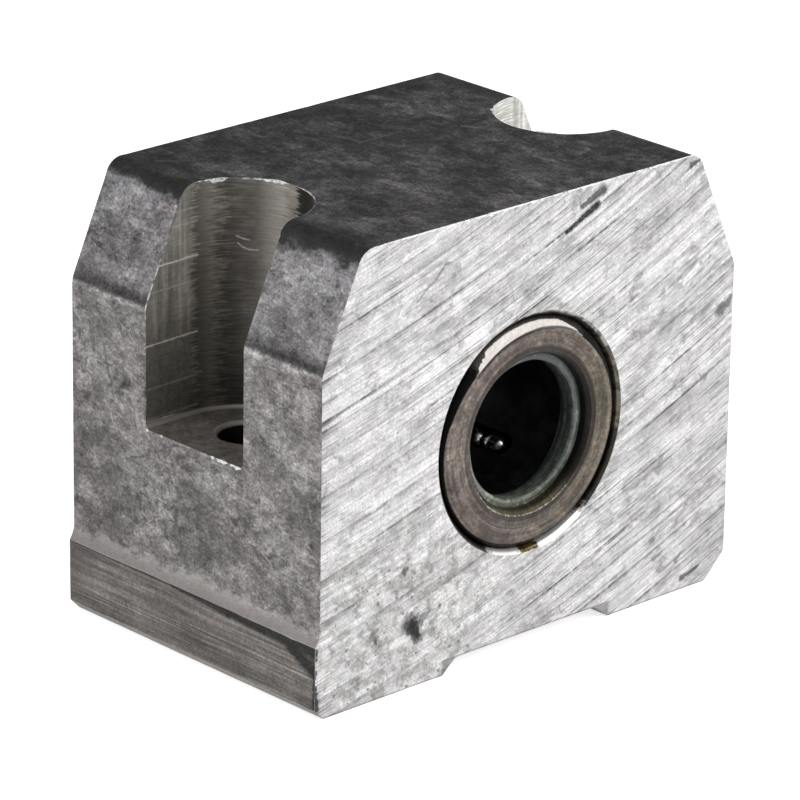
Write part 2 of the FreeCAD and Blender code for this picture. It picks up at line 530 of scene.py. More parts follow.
def saw_path(point):
    """The point as distance from the saw's centre, length along its arc, and y."""
    x, y, z = split(point)
    from_x = maths("SUBTRACT", x, SAW_CENTRE[0])
    from_z = maths("SUBTRACT", SAW_CENTRE[1], z)
    reach = vector_maths("LENGTH", joined(from_x, 0.0, from_z))
    along = maths("MULTIPLY", maths("ARCTAN2", from_x, from_z), SAW_CENTRE[1])
    return joined(reach, along, y)


def drawn(place, marks):
    """Marks listed as (start, end, width, ragged, strength, grey level), put on the block by place()."""
    return [(place(*start), place(*end), width, ragged, strength, tone(level))
            for start, end, width, ragged, strength, level in marks]


SAW_MARKS = [
    ((5.9, 31.4), (3.0, 30.05), 0.5, 0.35, 1.0, 22),
    ((6.5, 32.35), (4.4, 31.6), 0.56, 0.5, 0.85, 40),
    ((-19.95, 5.2), (-19.9, 4.5), 0.26, 0.5, 0.9, 30),
    ((-19.95, 3.6), (-19.95, 3.2), 0.2, 0.4, 0.8, 40),
    ((-19.9, 0.8), (-19.95, 2.5), 0.34, 0.6, 0.95, 24),
    ((15.2, 32.3), (16.0, 32.5), 0.36, 0.6, 0.85, 60),
    ((-11.1, 4.7), (-10.6, 3.6), 1.3, 1.9, 0.9, 56),
    ((-11.0, 4.5), (-10.6, 3.8), 0.9, 1.0, 1.0, 22),
    ((-10.2, 4.9), (-9.3, 5.3), 0.4, 1.4, 0.6, 90),
    ((-14.6, 4.9), (-14.2, 4.0), 0.55, 1.2, 0.6, 92),
    ((-14.5, 4.4), (-14.4, 4.2), 0.24, 0.4, 0.8, 60),
    ((-15.8, 5.2), (-15.7, 5.0), 0.5, 1.0, 0.5, 104),
    ((-11.9, 8.9), (-11.8, 8.6), 0.32, 0.5, 0.85, 70),
    ((-11.0, 8.7), (-10.9, 8.5), 0.36, 0.6, 0.6, 96),
    ((-12.2, 8.6), (-12.1, 8.5), 0.3, 0.5, 0.5, 104),
    ((18.7, 20.7), (19.7, 21.3), 0.75, 1.5, 0.8, 78),
    ((17.3, 16.0), (17.7, 16.3), 0.4, 0.8, 0.55, 104),
    ((12.4, 4.6), (12.7, 4.85), 0.4, 0.8, 0.7, 96),
    ((12.7, 3.15), (13.4, 3.45), 0.34, 0.7, 0.65, 104),
    ((15.0, 2.4), (15.45, 2.9), 0.34, 0.7, 0.75, 92),
    ((15.6, 0.85), (17.4, 1.4), 0.36, 0.5, 0.9, 66),
    ((-11.0, 28.2), (-10.2, 28.9), 0.16, 0.3, 0.65, 110),
    ((-10.2, 28.9), (-9.3, 29.4), 0.16, 0.3, 0.65, 110),
    ((-9.3, 29.4), (-8.5, 30.3), 0.18, 0.4, 0.7, 104),
    ((-8.5, 30.3), (-7.9, 30.3), 0.24, 0.5, 0.7, 104),
    ((-17.4, 25.2), (-16.9, 25.6), 0.26, 0.6, 0.45, 130),
]


def end_lines(arc):
    """The saw's lines on an end: coarse, the same ones broader, close and hair-fine."""
    coarse = lined(arc, spacing=1.3, length=22.0, fade=0.18)
    broad = lined(arc, spacing=1.3, length=22.0, fade=0.7)["Score"]
    close = lined(moved(arc, 5, 0, 3), spacing=0.42, length=9.0, fade=0.27)
    hair = lined(moved(arc, 2, 4, 6), spacing=0.2, length=4.0, fade=0.4)["Score"]
    return coarse, broad, close, hair


def end_stains(point, arc, broad, to_right, colour):
    """Veils, soot and smears, which gather in the broad lines."""
    reach, along, face = split(arc)
    streak = joined(reach, maths("MULTIPLY", along, 0.22), face)
    drag = joined(reach, maths("MULTIPLY", along, 0.42), face)
    veil = stained(point, size=1.6, low=0.48, high=0.7)
    vein = veined(point, size=3.0, width=0.02)
    soot = smudged(moved(point, 8, 0, 3), size=2.2, low=0.62)
    smear = stained(streak, size=0.9, low=0.52, high=0.72)
    haze = smudged(drag, size=1.5, low=0.53)
    smoke = stained(moved(point, 3, 0, 8), size=2.6, low=0.46, high=0.62)
    return layered(
        colour,
        (veil, 0.42, 150, 147, 149),
        (both(vein, veil), 0.6, 100, 97, 98),
        (soot, 0.5, 112, 109, 108),
        (both(smear, broad), 0.6, 108, 106, 106),
        (both(haze, to_right), 0.5, 136, 134, 135),
        (both(smoke, broad), 0.45, 128, 126, 126),
        (smear, 0.4, 134, 132, 132),
    )


def end_dirt(point, low_left, colour):
    """Specks all over the end, and grime and dots towards its lower left."""
    specks = pitted(point, size=0.7, share=0.16, reach=0.18)
    grime = stained(moved(point, 5, 0, 1), size=1.1, low=0.48, high=0.64)
    mottle = smudged(moved(point, 3, 0, 9), size=0.9, low=0.52)
    dirt = pitted(moved(point, 2, 0, 5), size=0.95, share=0.42, reach=0.22)
    dots = pitted(moved(point, 6, 0, 3), size=0.42, share=0.18, reach=0.26)
    return layered(
        colour,
        (specks, 0.55, 96, 93, 89),
        (both(grime, low_left), 0.55, 112, 108, 104),
        (both(mottle, low_left), 0.5, 116, 113, 109),
        (both(dirt, low_left), 0.75, 80, 76, 72),
        (both(dots, low_left), 0.8, 76, 72, 68),
    )


def end_rims(point, colour):
    """A painted highlight on the rim beside the bore, and painted shade along the end's lowest edges."""
    x, _, z = split(point)
    from_shaft = around_shaft(point)[0]
    mouth = CUP_RADIUS + BORE_MOUTH
    # Painted highlight: the bright crescent of the bore's chamfer, carried onto the rim beside it
    painted_light_mask = both(step(from_shaft, mouth + 0.18, mouth + 0.1), near(turned_share(point), 0.81, 0.042, 0.034))
    # Painted shade along the end's lowest edges
    under = step(z, 0.17, 0.06)
    in_groove = both(step(maths("ABSOLUTE", x), GROOVE_HALF + 0.4, GROOVE_HALF),
                     step(z, GROOVE_TOP + 0.14, GROOVE_TOP))
    lowest = maths("MAXIMUM", under, in_groove)
    return layered(colour, (painted_light_mask, 0.95, 250, 249, 245), (lowest, 0.65, 92, 91, 90))


def sawn_end(point):
    """Bright sawn aluminium: long shallow arcs from the saw, pale stains and a few black marks."""
    x, _, z = split(point)
    arc = saw_path(point)
    coarse, broad, close, hair = end_lines(arc)
    fleck = lined(moved(arc, 1, 7, 9), spacing=0.15, length=0.9, fade=0.5)["Shade"]
    grit = grained(point, size=0.17)
    marble = grained(point, size=2.2)
    shade = summed((marble, 0.55), (coarse["Shade"], 0.5), (close["Shade"], 0.6), (fleck, 0.15),
                   (grit, 0.9))
    colour = shaded(tone(213, 212, 212), shade, 1.9)
    colour = tinted(colour, grained(moved(point, 7, 0, 2), size=2.6), COOL, WARM)
    to_right = step(x, -15.0, 4.0, 0.75, 1.0)
    colour = end_stains(point, arc, broad, to_right, colour)
    low_left = step(vector_maths("DISTANCE", point, on_front(*GRIME_CENTRE)), 13.0, 4.0)
    kept = stained(moved(point, 1, 0, 9), size=6.0, low=0.4, high=0.56)
    kept = both(between(kept, 0.65, 1.0), between(low_left, 1.0, 0.6))
    torn = step(grained(moved(point, 4, 0, 6), size=0.5), 0.4, 0.58, 0.4, 1.0)
    colour = layered(
        colour,
        (both(coarse["Score"], torn, kept), 1.0, 54, 53, 53),
        (both(close["Score"], torn, to_right, kept), 1.0, 62, 61, 61),
        (both(hair, to_right, kept), 0.8, 92),
    )
    outer = maths("MAXIMUM", step(away(x, -2.0), 7.0, 17.0), step(z, 12.0, 3.0))
    colour = dimmed(colour, outer, 0.03)
    at_edge = step(x, -17.8, -HALF_WIDTH)
    colour = layered(colour, (both(broad, at_edge), 0.8, 64), (both(close["Score"], at_edge), 0.8, 70))
    colour = end_dirt(point, low_left, colour)
    colour = end_rims(point, colour)
    colour = marked(point, colour, drawn(on_front, SAW_MARKS))
    height = summed((close["Shade"], 0.4), (fleck, 0.1), (grit, 0.4), (coarse["Score"], -0.2))
    return {
        "Base Color": colour,
        "Metallic": 0.6,
        "Roughness": gloss(shade, 0.5, 0.38),
        "Normal": relief(height, 0.04, 0.4),
    }


SIDE_MARKS = [
    ((9.57, 21.0), (8.97, 18.8), 0.2, 0.4, 0.6, 70),
    ((8.97, 18.8), (8.36, 16.9), 0.22, 0.4, 0.6, 66),
    ((8.36, 16.9), (7.13, 16.1), 0.26, 0.6, 0.5, 74),
    ((9.4, 15.4), (8.6, 11.9), 0.3, 0.9, 0.4, 80),
    ((10.2, 7.9), (10.0, 7.4), 0.4, 1.6, 0.6, 66),
    ((11.3, 6.9), (11.1, 6.4), 0.3, 1.2, 0.6, 70),
    ((8.2, 6.9), (7.6, 6.6), 0.4, 1.6, 0.6, 66),
    ((1.2, 7.7), (0.6, 7.3), 0.7, 2.0, 0.55, 72),
    ((-9.3, 8.3), (-9.7, 7.4), 0.8, 2.2, 0.6, 68),
    ((-7.3, 7.4), (-7.7, 7.0), 0.5, 1.6, 0.5, 80),
]
TOP_MARKS = [
    ((7.58, 2.43), (8.23, 1.26), 0.09, 0.1, 0.6, 176),
    ((3.22, -7.06), (5.6, -8.5), 0.08, 0.1, 0.5, 160),
    ((-0.66, 4.28), (3.59, 4.3), 0.09, 0.12, 0.5, 150),
    ((-14.1, 10.4), (-12.3, 8.85), 0.1, 0.1, 0.45, 150),
    ((-13.2, 5.3), (-12.9, 5.0), 0.2, 0.2, 0.9, 20),
]


def skin_ground(level):
    """The skin's colour by height: grey walls, a painted highlight and a painted shade line at their break,
    slopes, and painted shade over the top.
    """
    wall_break = WALL_BREAK / HEIGHT
    # The pale stop just under the wall break is a painted highlight, the dark stops just above it painted
    # shade, and the dark stops at the top painted shade
    return toned(maths("DIVIDE", level, HEIGHT), (0.00, 124, 120, 116), (0.20, 125, 121, 120),
                 (0.40, 122, 118, 118), (wall_break - 0.018, 138, 134, 133),
                 (wall_break - 0.005, 168, 165, 164), (wall_break + 0.004, 80, 78, 79),
                 (wall_break + 0.012, 92, 90, 91), (wall_break + 0.032, 146, 143, 145),
                 (0.90, 159, 156, 158), (0.955, 165, 162, 165), (0.968, 76, 75, 76), (0.982, 56, 55, 56),
                 (0.997, 66, 64, 64))


def skin_flaws(pulled, big, on_top_face, colour):
    """Pale and dark flecks, cracks and blotches of the skin."""
    pale = smudged(moved(pulled, 7, 7, 2), size=1.5, low=0.55)
    colour = dimmed(colour, pale, -0.22)
    fleck = smudged(moved(pulled, 5, 3, 7), size=1.1, low=0.57)
    colour = dimmed(colour, fleck, 0.42)
    patchy = stained(moved(pulled, 6, 2, 8), size=5.0, low=0.4, high=0.6)
    crack = veined(pulled, size=2.6, width=0.026)
    colour = dimmed(colour, both(crack, patchy), 0.5)
    craze = veined(moved(pulled, 9, 6, 5), size=1.3, width=0.03)
    colour = dimmed(colour, both(craze, step(big, 0.42, 0.6, 0.3, 1.0)), 0.35)
    blotch = smudged(pulled, size=2.6, low=0.59)
    return dimmed(colour, both(blotch, between(on_top_face, 1.0, 0.8)), 0.36)


def skin_edges(point, uneven, smooth, colour):
    """Painted shade along the top's edges, and the smooth flare above the reference band."""
    x, _, z = split(point)
    near_edge = maths("MULTIPLY_ADD", uneven, 5.0, maths("ABSOLUTE", x))
    # Painted shade along the top's rounded edges
    top_edge_shade = both(step(near_edge, 12.8, 15.2), step(z, HEIGHT - 1.0, HEIGHT - 0.5))
    colour = laid(colour, top_edge_shade, 0.55, tone(44))
    foot = maths("MULTIPLY_ADD", uneven, 3.4, z)
    flare = both(step(foot, BAND_TOP + 1.3, BAND_TOP + 0.55), step(x, -10.0, -15.0),
                 step(z, 2.0, 4.0))
    return laid(colour, flare, 0.75, smooth)


def extruded_skin(point):
    """The extrusion's weathered outside: cloudy grey walls and slopes, and painted shade over the top."""
    x, y, z = split(point)
    pulled = joined(x, maths("MULTIPLY", y, 0.66), z)
    big = grained(pulled, size=6.0)
    middle = grained(moved(pulled, 8, 3, 1), size=1.6)
    small = grained(moved(pulled, 1, 5, 9), size=0.5)
    fine = grained(moved(pulled, 4, 7, 3), size=0.17)
    flake = stained(moved(pulled, 2, 9, 4), size=3.0, low=0.46, high=0.54)
    chip = stained(moved(pulled, 9, 6, 5), size=1.3, low=0.47, high=0.53)
    uneven = maths("SUBTRACT", middle, 0.5)
    high = step(z, HEIGHT - 4.0, HEIGHT - 2.5)
    level = maths("MULTIPLY_ADD", uneven, between(high, 0.25, 2.6), z)
    # Towards the back of the top, the painted shade of the top starts higher up
    painted_light_mask = both(high, step(y, 4.0, HALF_LENGTH))
    level = maths("MULTIPLY_ADD", painted_light_mask, -0.55, level)
    forward = step(y, HALF_LENGTH, -HALF_LENGTH)
    on_top_face = step(z, HEIGHT - 0.4, HEIGHT - 0.1)
    shade = summed((big, between(on_top_face, 0.4, 0.55)), (middle, 0.4), (small, 0.4), (fine, 0.8),
                   (flake, 0.1), (chip, 0.1), (forward, 0.04))
    colour = shaded(skin_ground(level), shade, between(on_top_face, 4.4, 8.2))
    cast = stained(moved(pulled, 3, 1, 6), size=2.4, low=0.4, high=0.6)
    colour = tinted(colour, cast, COOL, WARM)
    colour = skin_flaws(pulled, big, on_top_face, colour)
    grit = pitted(moved(point, 3, 8, 5), size=0.26, share=0.22, reach=0.36)
    colour = dimmed(colour, grit, 0.4)
    pits = pitted(point, size=0.45, share=0.3, reach=0.3)
    colour = dimmed(colour, both(pits, step(middle, 0.58, 0.46, 0.3, 1.0)), 0.6)
    smooth = shaded(tone(177, 172, 170), summed((big, 0.5), (fine, 0.5)), 1.3)
    colour = skin_edges(point, uneven, smooth, colour)
    colour = marked(point, colour, drawn(on_side, SIDE_MARKS) + drawn(on_top, TOP_MARKS))
    return {
        "Base Color": colour,
        "Metallic": 0.5,
        "Roughness": gloss(shade, 0.56, 0.42),
        "Normal": relief(summed((small, 0.4), (fine, 0.6), (pits, -0.1)), 0.025, 0.45),
    }


BAND_MARKS = [
    ((-13.0, 5.0), (-4.0, 5.15), 0.7, 0.5, 1.0, 10),
    ((-4.0, 5.15), (2.0, 5.4), 0.42, 0.5, 0.9, 10),
    ((-13.4, 3.45), (-10.4, 4.75), 1.1, 0.6, 1.0, 10),
    ((-13.0, 0.8), (-12.9, 4.0), 0.45, 0.9, 0.85, 10),
    ((-13.0, 5.43), (13.0, 5.43), 0.3, 0.4, 0.85, 10),
]


def machined_band(point):
    """The reference band and the feet: fine cutter lines along the shaft, with a dark stain at the top."""
    x, y, z = split(point)
    path = joined(maths("SUBTRACT", z, x), y, 0.0)
    broad = lined(path, spacing=0.42, length=12.0, fade=0.4)
    fine = lined(moved(path, 3, 2, 0), spacing=0.15, length=7.0, fade=0.5)["Shade"]
    grain = grained(point, size=0.2)
    patch = grained(point, size=3.0)
    shade = summed((broad["Shade"], 0.5), (fine, 1.2), (grain, 0.9), (patch, 0.6))
    specks = pitted(point, size=0.5, share=0.14, reach=0.2)
    colour = layered(
        shaded(tone(105, 100, 96), shade, 3.2),
        (broad["Score"], 0.4, 76, 73, 70),
        (specks, 0.45, 66, 64, 62),
        (step(y, 9.0, HALF_LENGTH), 0.5, 70, 68, 67),
        (step(z, BAND_TOP - 1.0, BAND_TOP - 0.2), 0.35, 78, 76, 74),
    )
    colour = marked(point, colour, drawn(on_band, BAND_MARKS))
    return {
        "Base Color": colour,
        "Metallic": 0.6,
        "Roughness": gloss(shade, 0.48, 0.38),
        "Normal": relief(summed((broad["Shade"], 0.4), (fine, 0.5)), 0.02, 0.4),
    }


# Levels and strengths of the ridges that the slot cutter left at the end of each pass, drawn as pale lines
# of painted highlight
PASS_RIDGES = [(31.2, 0.2), (30.2, 0.25), (27.7, 1.0), (25.9, 0.3), (22.1, 0.9), (18.9, 0.25), (16.7, 0.25)]
# Two curved scratches on the round wall of the reference side's slot
SLOT_SCRATCHES = [
    [(-12.26, 3.94, 28.76), (-11.95, 3.66, 28.58), (-11.62, 3.31, 28.49)],
    [(-12.21, 3.89, 28.25), (-11.95, 3.66, 27.96), (-11.66, 3.36, 27.79), (-11.24, 2.8, 27.81)],
]


def slot_painted_light(turn, z, flat):
    """Painted light and shade on a slot's wall by its share of a half turn and its height, with painted
    shade lower down and on the flats.
    """
    # Painted light and shade: the pale and dark bands round the wall stand for how light falls and reflects
    # in the slot
    wall = toned(turn, (0.00, 112, 107, 101), (0.42, 52, 49, 45), (0.47, 58, 55, 51),
                 (0.50, 158, 153, 145), (0.60, 142, 137, 130), (0.70, 80, 76, 71), (0.82, 82, 78, 73),
                 (0.90, 146, 141, 132), (0.96, 114, 109, 101), (1.00, 164, 159, 150))
    # Painted shade, darker lower down the wall
    lower = toned(maths("DIVIDE", z, HEIGHT), (0.49, 206), (0.66, 228), (0.9, 255))
    wall = blend(1.0, wall, lower, "MULTIPLY")
    # Painted shadow on the lower part of the flats, and painted shade near their top
    wall = dimmed(wall, both(flat, step(z, 26.5, 19.5)), 0.34)
    return dimmed(wall, both(flat, step(z, 24.0, 30.0)), 0.16)


def slot_marks(point, mirrored, colour):
    """The ridges left at the end of each pass, drawn as painted highlights, and the two scratches."""
    for height, strength in PASS_RIDGES:
        start, end = (SLOT_ARC_X - 0.6, SLOT_HALF, height), (HALF_WIDTH, SLOT_HALF, height - 0.12)
        ridge = scored(mirrored, start, end, width=0.13, ragged=0.3)
        colour = laid(colour, ridge, strength, tone(228, 225, 214))
    for line in SLOT_SCRATCHES:
        marks = [(start, end, 0.1, 0.08, 0.6, tone(178, 172, 162)) for start, end in zip(line, line[1:])]
        colour = marked(point, colour, marks)
    return colour


def milled_slot(point):
    """Cutter-dulled slot walls: fine lines round the slot, streaks down the flats, a ridge at each pass, and
    painted light and shade.
    """
    x, y, z = split(point)
    mirrored = vector_maths("ABSOLUTE", point)
    out = split(mirrored)[0]
    angle = maths("ARCTAN2", y, maths("SUBTRACT", SLOT_ARC_X, out))
    around = maths("MULTIPLY", angle, SLOT_HALF)
    level = lined(joined(z, around, 0.0), spacing=0.18, length=2.6, fade=0.4)
    thin = lined(joined(z, around, 3.0), spacing=0.11, length=1.2, fade=0.5)["Shade"]
    upright = lined(joined(around, z, 6.0), spacing=0.4, length=9.0, fade=0.4)["Shade"]
    patch = grained(point, size=1.8)
    grain = grained(point, size=0.3)
    flat = step(out, SLOT_ARC_X - 0.3, SLOT_ARC_X + 0.1)
    on_wall = step(z, SLOT_FLOOR + 0.02, SLOT_FLOOR + 0.12)
    lines = summed((level["Shade"], 0.35), (thin, 0.8))
    strong = summed((upright, 1.1), (grain, 0.5))
    faint = summed((upright, 0.35), (grain, 0.6))
    lines = between(flat, lines, between(step(z, 21.8, 22.4), faint, strong))
    floor = summed((grain, 0.7), (grained(point, size=0.9), 1.1))
    shade = summed((between(on_wall, floor, lines), 1.0), (patch, 0.5))
    turn = maths("MULTIPLY_ADD", angle, 1 / math.pi, summed((patch, 0.1), (thin, 0.16)))
    base = blend(on_wall, tone(132, 125, 120), slot_painted_light(turn, z, flat))
    # Painted light: the walls of the slot on the plain side drawn pale, as lit by the key lamp
    plain_side_painted_light = both(step(x, 8.0, 10.0), step(z, 20.0, 27.0))
    base = blend(plain_side_painted_light, base, tone(205, 204, 199))
    # Painted highlight along the floor's rounded corner
    floor_corner_highlight = both(on_wall, step(z, SLOT_FLOOR + 0.36, SLOT_FLOOR + 0.28))
    from_hole = vector_maths("LENGTH", joined(maths("SUBTRACT", out, BOLT_X), y, 0.0))
    sunk = step(z, SLOT_FLOOR - 0.02, SLOT_FLOOR - 0.06)
    colour = layered(
        shaded(base, shade, 2.8),
        (both(level["Score"], on_wall), 0.35, 60, 57, 52),
        (floor_corner_highlight, 0.6, 196, 190, 181),
        # Painted highlight on the bolt hole's rim, then painted shade down the hole
        (both(sunk, step(from_hole, HOLE_RADIUS, HOLE_RADIUS + 0.1)), 0.7, 200, 195, 188),
        (both(sunk, step(from_hole, HOLE_RADIUS + 0.1, HOLE_RADIUS)), 0.9, 14),
    )
    colour = slot_marks(point, mirrored, colour)
    return {
        "Base Color": colour,
        "Metallic": between(flat, 0.55, 0.35),
        "Roughness": gloss(shade, 0.5, 0.38),
        "Normal": relief(between(on_wall, 0.5, lines), 0.015, 0.5),
    }


def bore_mouth(point):
    """The turned chamfer round the bush: a painted highlight below, painted shade towards the right, old oil
    stains and yellow grease residue.
    """
    turn = turned_share(point)
    # Near-white stops below are a painted highlight and the black stops towards the right painted shade; the
    # yellow-brown stops at the bottom are grease residue
    colour = toned(turn, (0.00, 104, 97, 84), (0.06, 100, 94, 82), (0.09, 152, 149, 143),
                   (0.355, 160, 158, 152), (0.37, 62, 60, 57), (0.675, 58, 56, 52),
                   (0.686, 250, 249, 245), (0.732, 250, 249, 245), (0.738, 104, 92, 48),
                   (0.764, 112, 100, 56), (0.774, 252, 251, 246), (0.85, 252, 251, 246),
                   (0.86, 30, 28, 27), (0.965, 30, 28, 27), (0.98, 104, 97, 84))
    oil = stained(point, size=0.7, low=0.46, high=0.54)
    shut = step(away(turn, 0.767), 0.07, 0.09)
    crumbs = both(stained(point, size=0.35, low=0.5, high=0.56), near(turn, 0.752, 0.03, 0.012))
    colour = layered(colour, (both(oil, shut), 0.8, 48, 42, 32), (crumbs, 0.85, 30, 28, 16))
    return {
        "Base Color": colour,
        "Metallic": 0.6,
        "Roughness": 0.35,
    }


def bright_edge(point):
    """Bare aluminium where an edge has been nicked or burred, drawn pale as a painted highlight along the
    edge.
    """
    worn = stained(point, size=2.2, low=0.44, high=0.56)
    return {
        "Base Color": blend(worn, tone(236, 236, 233), tone(104, 101, 97)),
        "Metallic": 0.4,
        "Roughness": 0.4,
    }


def torn_metal(point):
    """Fresh white aluminium of the torn slivers."""
    shade = grained(point, size=0.3)
    colour = toned(shade, (0.3, 150), (0.5, 244), (0.7, 252))
    return {
        "Base Color": colour,
        "Metallic": 0.3,
        "Roughness": 0.4,
    }


# Finishes of the bush

def lip_brown(point, reach, turn, shade, score):
    """The lip's brown steel: pale rings, tarnish, and a painted shadow and painted shade in a crease beside
    its roll.
    """
    brown = toned(turn, (0.0, 105, 97, 85), (0.25, 104, 95, 90), (0.5, 112, 103, 98), (0.75, 95, 87, 82),
                  (0.9, 103, 95, 84), (1.0, 105, 97, 85))
    colour = shaded(brown, shade, 3.4)
    colour = laid(colour, score, 0.35, tone(134, 124, 118))
    cast = grained(moved(point, 3, 0, 1), size=1.2)
    colour = tinted(colour, cast, (0.97, 0.985, 1.02, 1.0), (1.03, 1.0, 0.93, 1.0))
    tarnish = stained(moved(point, 5, 0, 2), size=1.4, low=0.47, high=0.62)
    # Painted shadow beside the roll, strongest towards the right; painted shade in the crease
    shadow = toned(turn, (0.0, 240), (0.12, 200), (0.3, 90), (0.6, 70), (0.82, 120), (0.92, 230))
    shadow = both(shadow, step(reach, LIP_RADIUS + 0.95, LIP_RADIUS + 0.55))
    crease_shade = near(reach, LIP_RADIUS + 0.58, 0.3, 0.06)
    return layered(colour, (tarnish, 0.4, 66, 58, 50), (shadow, 0.8, 28, 24, 21), (crease_shade, 0.6, 34, 29, 26))


def lip_roll(point, reach, turn, grain, patch, colour):
    """The film of oil on the lip's roll, with painted shade on it towards the right, and the broken painted
    glint along it.
    """
    # The film's near-black stops towards the right are painted shade; the olive stops below are grease
    film = toned(turn, (0.00, 12, 13, 12), (0.14, 20, 21, 20), (0.24, 54, 56, 53), (0.36, 44, 44, 41),
                 (0.60, 52, 50, 44), (0.68, 84, 80, 58), (0.80, 58, 54, 38), (0.88, 14, 14, 13))
    film = shaded(film, summed((grain, 1.0), (patch, 0.6)), 3.4)
    colour = laid(colour, step(reach, LIP_RADIUS + 0.4, LIP_RADIUS + 0.32), 0.95, film)
    glint_at = between(step(turn, 0.56, 0.64), LIP_RADIUS + 0.22, LIP_RADIUS + 0.38)
    dashes = step(grained(point, size=0.16), 0.44, 0.62)
    glint = both(near(reach, glint_at, 0.07, 0.03), near(turn, 0.6, 0.28, 0.22), dashes)
    return laid(colour, glint, 0.75, tone(200, 196, 186))


def cup_rim(point, reach, turn, grain):
    """The colour of the cup's rolled corner, a painted highlight in a crescent and a painted dark reflection
    elsewhere, and its mask.
    """
    # Painted highlight in the pale crescent; the dark stops elsewhere are painted dark reflection
    rim = toned(turn, (0.00, 22, 20, 19), (0.145, 22, 20, 19), (0.155, 222, 216, 209),
                (0.362, 226, 220, 213), (0.374, 14), (0.47, 16), (0.48, 46, 42, 40), (0.80, 40, 36, 34),
                (0.815, 20, 19, 18))
    rim = shaded(rim, grain, 1.2)
    oily = pitted(point, size=0.6, share=0.2, reach=0.2)
    rim = laid(rim, oily, 0.7, tone(70, 64, 58))
    # Painted dark reflection along the corner's outer edge, held back where the crescent is
    dark_reflection_reach = graded(turn, (0.14, 0.8), (0.20, 0.36), (0.34, 0.28), (0.375, 0.95))
    fray = maths("MULTIPLY_ADD", maths("SUBTRACT", grain, 0.5), 0.16, reach)
    black = step(maths("ADD", fray, dark_reflection_reach), CUP_RADIUS - 0.03, CUP_RADIUS + 0.05)
    rim = laid(rim, black, 0.95, tone(14))
    width = graded(turn, (0.0, 0.55), (0.1, 0.78), (0.2, 0.98), (0.34, 1.0), (0.39, 0.83), (0.476, 0.4),
                   (0.56, 0.33), (0.66, 0.42), (0.75, 0.55), (1.0, 0.55))
    return rim, step(maths("ADD", reach, width), CUP_RADIUS - 0.03, CUP_RADIUS + 0.07)


def cup_steel(point):
    """Drawn steel, brown from use: fine rings on the lip, and at its corner a painted highlight in a
    crescent and painted dark reflection elsewhere.
    """
    reach, angle, y = around_shaft(point)
    path = joined(reach, maths("MULTIPLY", angle, LIP_MIDDLE), y)
    ring = lined(path, spacing=0.36, length=16.0, fade=0.4)
    thin = lined(moved(path, 2, 1, 0), spacing=0.12, length=4.0, fade=0.5)["Shade"]
    grain = grained(point, size=0.24)
    patch = grained(point, size=2.2)
    shade = summed((ring["Shade"], 0.8), (thin, 0.45), (grain, 1.1), (patch, 1.3))
    turn = turned_share(point)
    colour = lip_brown(point, reach, turn, shade, ring["Score"])
    colour = lip_roll(point, reach, turn, grain, patch, colour)
    rim, corner = cup_rim(point, reach, turn, grain)
    turned = both(near(reach, TURNED_RING, 0.06, 0.02), near(turn, 0.62, 0.16, 0.08))
    seam_at = between(step(turn, 0.15, 0.3), *SEAM_RADII)
    seam = both(near(reach, seam_at, 0.16, 0.06), near(turn, 0.26, 0.13, 0.09))
    colour = layered(blend(corner, colour, rim), (turned, 0.35, 150, 140, 134), (seam, 0.9, 30, 27, 25))
    residue = [((-0.3, -12.8, 7.75), (1.4, -12.8, 7.88), 0.4, 0.6, 0.9, tone(60, 55, 26))]
    colour = marked(point, colour, residue)
    return {
        "Base Color": colour,
        "Metallic": between(corner, 0.75, step(rim, 0.03, 0.3, 1.0, 0.1)),
        "Roughness": step(corner, 0.0, 1.0, 0.46, 0.5),
        "Normal": relief(summed((ring["Shade"], 0.4), (thin, 0.3), (grain, 0.4)), 0.02, 0.35),
    }


def seal_rubber(point):
    """Moulded rubber, grey-green and wet with oil, with dried grease below, and painted shade in the gap
    beside the lip and deeper in the bore.
    """
    reach, angle, y = around_shaft(point)
    turn = turned_share(point)
    path = joined(summed((reach, 1.0), (y, 1.0)), maths("MULTIPLY", angle, SHAFT_RADIUS), 0.0)
    film = lined(path, spacing=0.22, length=5.0, fade=0.4)
    patch = grained(point, size=0.6)
    face = toned(turn, (0.0, 74, 80, 76), (0.3, 52, 56, 54), (0.5, 108, 110, 105), (0.68, 132, 136, 122),
                 (0.76, 104, 108, 98), (0.85, 78, 84, 79), (1.0, 74, 80, 76))
    colour = shaded(face, summed((film["Shade"], 1.3), (patch, 2.0)), 3.2)
    # Painted shade in the gap between the seal and the lip, except at the bottom
    gap = step(reach, SHAFT_RADIUS + 0.4, SHAFT_RADIUS + 0.6)
    gap = both(gap, step(away(turn, 0.68), 0.1, 0.2))
    grease = stained(point, size=0.5, low=0.38, high=0.5)
    grease = both(grease, step(reach, SHAFT_RADIUS + 0.15, SHAFT_RADIUS + 0.35),
                  near(turn, 0.74, 0.15, 0.09))
    grit = pitted(point, size=0.4, share=0.2, reach=0.24)
    depth = maths("ABSOLUTE", y)
    colour = layered(
        colour,
        (film["Score"], 0.5, 140, 146, 138),
        (gap, 0.85, 18, 19, 18),
        (grease, 0.85, 52, 50, 30),
        (grit, 0.7, 26, 26, 20),
        # Painted shade deeper in the bore, darkening to near black
        (step(depth, LIP_BACK - 0.2, LIP_BACK - 0.5), 0.4, 50, 56, 54),
        (step(depth, LIP_BACK - 0.8, LIP_BACK - 1.5), 0.92, 8, 9, 9),
    )
    return {
        "Base Color": colour,
        "Roughness": step(film["Shade"], 0.2, 0.8, 0.28, 0.42),
        "Specular IOR Level": 0.5,
        "Normal": relief(summed((film["Shade"], 0.6), (patch, 0.6)), 0.05, 0.6),
    }


